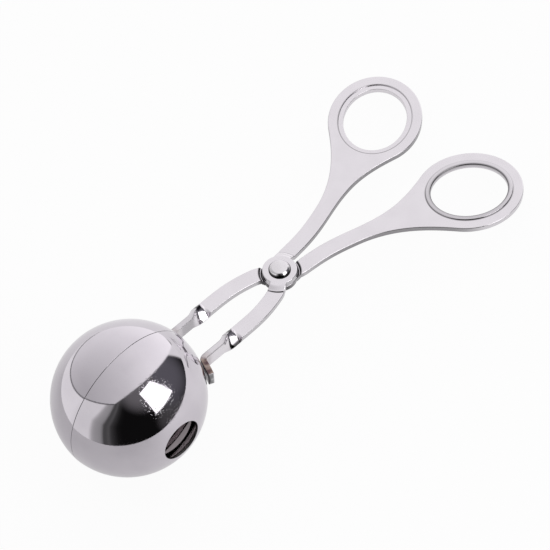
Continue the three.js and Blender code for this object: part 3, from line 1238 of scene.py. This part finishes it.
    def build(self) -> bpy.types.Object:
        """Make the arm as one closed skin.

        Returns:
            The arm as a plain mesh, in place in the frame.
        """
        skin = Skin()
        edge_rows = self.outline_rows(skin, self.outline())
        skin.bridge_all(edge_rows, False)
        hole_rows = self.hole_rows(skin)
        skin.bridge_all(hole_rows, True)
        bore_rows = self.bore_rows(skin)
        skin.bridge_all(bore_rows, True)
        section = self.strip_section()
        steps = self.face_steps - 1
        under = steps + 2 * self.round_steps + 2
        twist = self.flat_line()[-1]
        slope_points = self.face_points([skin.points[row[0]].xy for row in edge_rows])
        rings: list[list[int]] = []
        for side, end, first in ((1.0, 0, 0), (-1.0, -1, under)):
            closing = []
            for corner in section[first:first + steps]:
                flat = twist.point + left_of(twist.along) * corner.across
                closing.append(skin.add(Vector((*flat, corner.through)), UP * side, Marks()))
            rings.append(closing)
            loop = [row[end] for row in edge_rows]
            loop += closing if side > 0 else closing[::-1]
            inner = []
            for flat in slope_points:
                level = side * self.strip_thickness / 2 + self.rise(flat)
                # painted shade rings on the flat
                inner.append(skin.add(Vector((*flat, level)), self.lean(flat, UP * side),
                                      Marks(groove=self.grime(flat))))
            self.add_face(skin, [loop, hole_rows[end], bore_rows[end]], inner)
        top, bottom = rings
        self.add_jaw(skin, [*top, *edge_rows[0], *bottom, *reversed(edge_rows[-1])])
        return skin.to_object(f"{self.node}_satin", self.lie.matrix(self.half))

    @staticmethod
    def add_face(skin: Skin, loops: list[list[int]], inner: list[int]) -> None:
        """Fill the flat between closed loops of points.

        Args:
            skin: Skin that takes the faces.
            loops: Point numbers of the outer edge and of each hole.
            inner: Point numbers of single points inside.
        """
        numbers = [number for loop in loops for number in loop] + inner
        edges = []
        start = 0
        for loop in loops:
            edges += [(start + index, start + (index + 1) % len(loop))
                      for index in range(len(loop))]
            start += len(loop)
        flat = [skin.points[number].xy for number in numbers]
        _, _, triangles, origins, _, _ = delaunay_2d_cdt(
            flat, edges, [], FILL_INSIDE, FILL_GAP)
        holes = [set(loop) for loop in loops[1:]]
        for triangle in triangles:
            corners = tuple(numbers[origins[corner][0]] for corner in triangle)
            if not any(hole.issuperset(corners) for hole in holes):
                skin.faces.append(corners)


@dataclass
class PivotRivet:
    """The rivet: a low domed head, a shank and a flatter upset tail."""

    node: str
    lie: Lie
    seat: float = 2.8 * MM
    shank_radius: float = 2.3 * MM
    head_radius: float = 4.2 * MM
    head_lip: float = 0.12 * MM
    flank_radius: float = 6.6 * MM
    flank_tilts: Span = (56.0, 42.0)
    crown_edge: float = 0.4 * MM
    head_crown: float = 5.0
    tail_radius: float = 3.8 * MM
    tail_lip: float = 0.3 * MM
    tail_edge: Span = (0.9 * MM, 0.7 * MM)
    under_edge: float = 0.12 * MM
    segments: int = 96
    flank_steps: int = 14
    crown_steps: int = 8
    under_steps: int = 4
    sharp_angle: float = 50.0

    def profile(self) -> list[Vector]:
        """Return the rivet's half outline as radius and height, from the tail up to the head."""
        def round_off(radius: float, height: float, size: Span, bearings: Span,
                      steps: int) -> list[Vector]:
            return [point for point, _ in arc((radius, height), size, bearings, steps)]

        steep, easy = (90.0 - tilt for tilt in self.flank_tilts)
        soft = (self.under_edge, self.under_edge)
        foot = Vector((self.head_radius, self.seat + self.head_lip))
        head = round_off(*(foot - heading(steep) * self.flank_radius), (self.flank_radius,) * 2,
                         (steep, easy), self.flank_steps)
        head += round_off(*(head[-1] - heading(easy) * self.crown_edge), (self.crown_edge,) * 2,
                          (easy, 90.0 - self.head_crown), self.crown_steps)[1:]
        radius, level = head[-1]
        rise = math.tan(math.radians(self.head_crown)) * radius / 2
        crown = [Vector((radius * (1.0 - share), level + rise * (1.0 - (1.0 - share) ** 2)))
                 for share in shares(self.crown_steps)]
        low = -self.seat - self.tail_lip
        return [
            Vector((0.0, low - self.tail_edge[1])),
            *round_off(self.tail_radius - self.tail_edge[0], low, self.tail_edge, (-90.0, 0.0),
                       self.flank_steps),
            *round_off(self.tail_radius - self.under_edge, -self.seat - self.under_edge, soft,
                       (0.0, 90.0), self.under_steps),
            Vector((self.shank_radius, -self.seat)), Vector((self.shank_radius, self.seat)),
            *round_off(self.head_radius - self.under_edge, self.seat + self.under_edge, soft,
                       (-90.0, 0.0), self.under_steps),
            *head, *crown]

    def build(self) -> bpy.types.Object:
        """Turn the rivet's outline about its axis.

        Returns:
            The rivet as a plain mesh, in place in the frame.
        """
        name = f"{self.node}_bright"
        mesh = bpy.data.meshes.new(name)
        points = [(radius, 0.0, height) for radius, height in self.profile()]
        mesh.from_pydata(points, [(index, index + 1) for index in range(len(points) - 1)], [])
        blank = show(name, mesh)
        turn = blank.modifiers.new("turn", "SCREW")
        turn.axis = "Z"
        turn.steps = turn.render_steps = self.segments
        turn.use_merge_vertices = True
        turn.merge_threshold = WELD
        turned = carry_out(blank)
        face_outwards(turned, WELD)
        turned.transform(self.lie.matrix(Half.RIGHT))
        turned.shade_smooth()
        turned.set_sharp_from_angle(angle=math.radians(self.sharp_angle))
        blank.data = turned
        return blank


@dataclass
class Studio:
    """Pale floor, white surroundings with an open dark front, one square lamp and the camera."""

    target: Vector = field(
        default_factory=lambda: Vector((5.059 * MM, 1.019 * MM, 16.936 * MM)))
    camera_distance: float = 3.03155
    camera_azimuth: float = -30.265
    camera_elevation: float = 58.789
    camera_roll: float = -17.768
    camera_reach: float = 50.0
    lens: float = 529.72
    floor_radius: float = 0.3
    floor_segments: int = 96
    floor_drop: float = 6.2 * MM
    floor_colour: Colour = (0.92, 0.915, 0.92)
    floor_glow: float = 0.94
    floor_sheen: float = 0.6
    # painted shadow and light in the floor's reflection: glow from -X to +X, and the stretch along
    # X where it changes
    floor_shades: Span = (0.57, 1.1)
    floor_fall: Span = (-0.18, 0.02)
    lamp_azimuth: float = 6.6
    lamp_distance: float = 1.2
    lamp_across: Span = (-0.105, 0.795)
    lamp_heights: Span = (0.342, 1.637)
    lamp_radiance: float = 2.2
    ball: Vector = field(default_factory=lambda: Vector((-71.3 * MM, 0.0, 30 * MM)))
    diffuser: tuple[float, float, float] = (135.7, 57.7, 71.4)
    diffuser_edge: Span = (-0.004, 0.008)
    ceiling: tuple[Colour, Colour] = ((0.60, 0.595, 0.605), (1.43, 1.42, 1.43))
    bright_side: Span = (64.8, -29.4)
    rim_outside: Span = (-0.026, -0.008)
    rim_inside: Span = (0.004, 0.02)
    rim_colour: Colour = (0.1, 0.1, 0.105)
    rim_depth: float = 0.85
    room_side: Vector = field(default_factory=lambda: Vector((-0.0928, -0.806, -0.5846)))
    room_fade: Span = (-0.168, -0.128)
    room_lean: float = 0.45
    room_lean_start: float = 0.3
    walls: tuple[Span, ...] = (
        (-160.0, 1.02), (-128.0, 1.02), (-118.0, 0.9), (-94.0, 0.9), (-89.5, 0.52),
        (-86.0, 0.43), (-79.0, 0.36), (-76.5, 0.25), (-74.5, 0.09), (-71.5, 0.085),
        (-68.0, 0.115), (-65.0, 0.055), (-61.0, 0.03), (-56.0, 0.010), (-50.0, 0.006),
        (84.0, 0.006), (86.5, 1.0))
    glows: tuple[StrayGlow, ...] = (
        StrayGlow((15.0, 58.0), (0.76, 0.97), (0.17, 0.165, 0.17)),
        StrayGlow((18.0, -2.0), (0.9, 0.99), (0.07, 0.068, 0.07)),
        StrayGlow((56.0, 28.0), (0.68, 0.99), (0.135, 0.132, 0.15)))

    @staticmethod
    def direction(azimuth: float, elevation: float) -> Vector:
        """Return the direction at an azimuth from -Y, towards +X, and an elevation."""
        flat, bearing = heading(elevation), heading(azimuth)
        return Vector((bearing.y * flat.x, -bearing.x * flat.x, flat.y))

    def build_camera(self) -> None:
        """Set the camera where the photograph was taken from."""
        data = bpy.data.cameras.new("photo_camera")
        data.lens = self.lens
        data.clip_end = self.camera_reach
        camera = show("photo_camera", data)
        turn = (Matrix.Rotation(math.radians(self.camera_azimuth), 4, "Z")
                @ Matrix.Rotation(math.radians(90.0 - self.camera_elevation), 4, "X")
                @ Matrix.Rotation(math.radians(self.camera_roll), 4, "Z"))
        back = self.direction(self.camera_azimuth, self.camera_elevation)
        camera.matrix_world = Matrix.Translation(self.target + back * self.camera_distance) @ turn
        bpy.context.scene.camera = camera

    def build_floor(self) -> None:
        """Lay the floor below all that swings: pale, white to camera and steel, softly shaded, with
        a painted shadow towards -X and painted brightening towards +X in reflections.
        """
        mesh = bpy.data.meshes.new("studio_floor")
        disc = bmesh.new()
        bmesh.ops.create_circle(
            disc, cap_ends=True, segments=self.floor_segments, radius=self.floor_radius)
        disc.to_mesh(mesh)
        disc.free()
        floor = show("studio_floor", mesh)
        floor.location.z = -self.floor_drop
        material = bpy.data.materials.new("pale_floor")
        material.use_nodes = True
        sheet = NodeSheet(material.node_tree)
        matt = sheet.add("ShaderNodeBsdfDiffuse", {"Color": (*self.floor_colour, 1.0)})
        direct, glossy = sheet.views()
        along = sheet.parts(sheet.place())[0]
        # painted shadow and light: the floor's reflected glow changes along X
        shade = sheet.span(sheet.ramp(along, *self.floor_fall), *self.floor_shades)
        glow = sheet.add("ShaderNodeEmission", {
            "Strength": sheet.math("MAXIMUM", direct, sheet.product(glossy, shade))})
        share = sheet.math("MAXIMUM", sheet.product(direct, self.floor_glow),
                           sheet.product(glossy, self.floor_sheen))
        mixed = sheet.add("ShaderNodeMixShader", {0: share, 1: matt.outputs[0], 2: glow.outputs[0]})
        sheet.add("ShaderNodeOutputMaterial", {"Surface": mixed.outputs[0]})
        mesh.materials.append(material)

    def front_walls(self, sheet: NodeSheet, ray: Socket) -> Socket:
        """Return how bright the walls are all round: pale, with a dark room in front.

        Args:
            sheet: Nodes of the world.
            ray: Direction that is looked in.

        Returns:
            The brightness towards that direction.
        """
        parts = sheet.parts(ray)
        bearing = sheet.math("ARCTAN2", parts[0], sheet.product(parts[1], -1.0))
        above = sheet.math("SUBTRACT", sheet.math("ARCSINE", parts[2]), self.room_lean_start)
        height = sheet.math("MAXIMUM", above, 0.0)
        leaning = sheet.math("MULTIPLY_ADD", height, -self.room_lean, bearing)
        share = sheet.math("MULTIPLY_ADD", leaning, 0.5 / math.pi, 0.5)
        bands = sheet.add("ShaderNodeValToRGB", {"Fac": share})
        stops = bands.color_ramp.elements
        for index, (azimuth, level) in enumerate(self.walls):
            place = (azimuth + 180.0) / 360.0
            stop = stops[index] if index < len(stops) else stops.new(place)
            stop.position = place
            stop.color = (level, level, level, 1.0)
        return bands.outputs[0]

    def build_surroundings(self) -> None:
        """Light the world: a round diffuser overhead, white walls and a dark room in front."""
        world = bpy.data.worlds.new("studio_surroundings")
        world.use_nodes = True
        bpy.context.scene.world = world
        sheet = NodeSheet(world.node_tree)
        ray = sheet.place("Generated")

        def towards(axis: Vector) -> Socket:
            facing = sheet.add("ShaderNodeVectorMath", {0: ray, 1: axis}, operation="DOT_PRODUCT")
            return facing.outputs["Value"]

        azimuth, elevation, spread = self.diffuser
        overhead = towards(self.direction(azimuth, elevation))
        edge = math.cos(math.radians(spread))
        under_diffuser, outside, inside_rim = (
            sheet.ramp(overhead, edge + low, edge + high)
            for low, high in (self.diffuser_edge, self.rim_outside, self.rim_inside))
        rim = sheet.product(sheet.math("SUBTRACT", outside, inside_rim), self.rim_depth)
        bright = sheet.add("ShaderNodeMapRange", {
            "Value": towards(self.direction(*self.bright_side)), "From Min": -1.0}).outputs[0]
        front = self.front_walls(sheet, ray)
        for glow in self.glows:
            facing = sheet.ramp(towards(self.direction(*glow.spot)), *glow.fade)
            front = sheet.mix(facing, front, glow.colour, "LIGHTEN")
        lined = sheet.mix(under_diffuser, front, sheet.mix(bright, *self.ceiling))
        rimmed = sheet.mix(rim, lined, self.rim_colour)
        room = sheet.ramp(towards(self.room_side), *self.room_fade)
        shown = sheet.mix(sheet.views()[0], sheet.mix(room, rimmed, front), (1.0, 1.0, 1.0))
        light = sheet.add("ShaderNodeBackground", {"Color": shown, "Strength": 1.0})
        sheet.add("ShaderNodeOutputWorld", {"Surface": light.outputs[0]})

    def build_lamp(self) -> None:
        """Stand the square lamp upright in the dark front, facing the ball."""
        left, right = self.lamp_across
        low, high = self.lamp_heights
        data = bpy.data.lights.new("square_lamp", "AREA")
        data.shape = "RECTANGLE"
        data.size = right - left
        data.size_y = high - low
        data.energy = self.lamp_radiance * math.pi * data.size * data.size_y
        lamp = show("square_lamp", data)
        facing = self.direction(self.lamp_azimuth, 0.0)
        middle = Vector((-facing.y, facing.x, 0.0)) * ((left + right) / 2)
        lamp.location = self.ball + facing * self.lamp_distance + middle
        lamp.location.z += (low + high) / 2
        lamp.rotation_euler = (math.radians(90.0), 0.0, math.radians(self.lamp_azimuth))

    def build(self) -> None:
        """Set up the camera, the floor, the surroundings and the lamp."""
        self.build_camera()
        self.build_floor()
        self.build_surroundings()
        self.build_lamp()
        bpy.context.scene.view_settings.view_transform = "Standard"


@dataclass
class Tongs:
    """The whole tool, dressed piece by piece over its frame."""

    lie: Lie

    def settle(self, piece: bpy.types.Object, node: str, half: Half) -> None:
        """Put a piece in a node's place.

        Args:
            piece: The finished piece.
            node: Frame node that the piece stands for.
            half: Half of the tongs that carries it.
        """
        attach(piece, half.value)
        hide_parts(node)
        LOG.info("%s: %d points, %d faces", piece.name, len(piece.data.vertices),
                 len(piece.data.polygons))

    def build(self) -> None:
        """Make the bowls, the arms and the rivet, and dress them."""
        finishes = (
            SheetSteel(),
            SheetSteel("drawn_inner_sheet", (0.58, 0.545, 0.56), (0.51, 0.48, 0.49),
                       gloss=0.03, haze=0.05, cloud=6 * MM, pit_depth=0.0),
            # painted shade: a near-black finish on the bowls' cut faces at rim and vent
            SheetSteel("sheared_sheet_edge", (0.10, 0.095, 0.095), (0.05, 0.047, 0.047),
                       gloss=0.35, haze=0.5, cloud=1 * MM))
        sheets = [finish.material() for finish in finishes]
        for half, node in ((Half.RIGHT, "right_half_shell"), (Half.LEFT, "left_half_shell")):
            shell = HalfShell(half, node, self.lie).build(*sheets)
            self.settle(shell, node, half)
        satin = SatinSteel().material()
        for arm in (Arm(Half.RIGHT, "upper_arm", self.lie), Arm.lower("lower_arm", self.lie)):
            piece = arm.build()
            piece.data.materials.append(satin)
            self.settle(piece, arm.node, arm.half)
        rivet = PivotRivet("pivot_rivet", self.lie).build()
        axis = self.lie.matrix(Half.RIGHT).inverted()
        rivet.data.materials.append(RivetSteel(axis=axis).material())
        self.settle(rivet, "pivot_rivet", Half.RIGHT)


def main() -> None:
    """Build the studio and the tongs, logging each piece's points and faces."""
    logging.basicConfig(level=logging.INFO, format="%(name)s: %(message)s")
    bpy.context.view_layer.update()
    Studio().build()
    Tongs(Lie.of_joint(frame["joints"][0])).build()


if __name__ == "__main__":
    main()
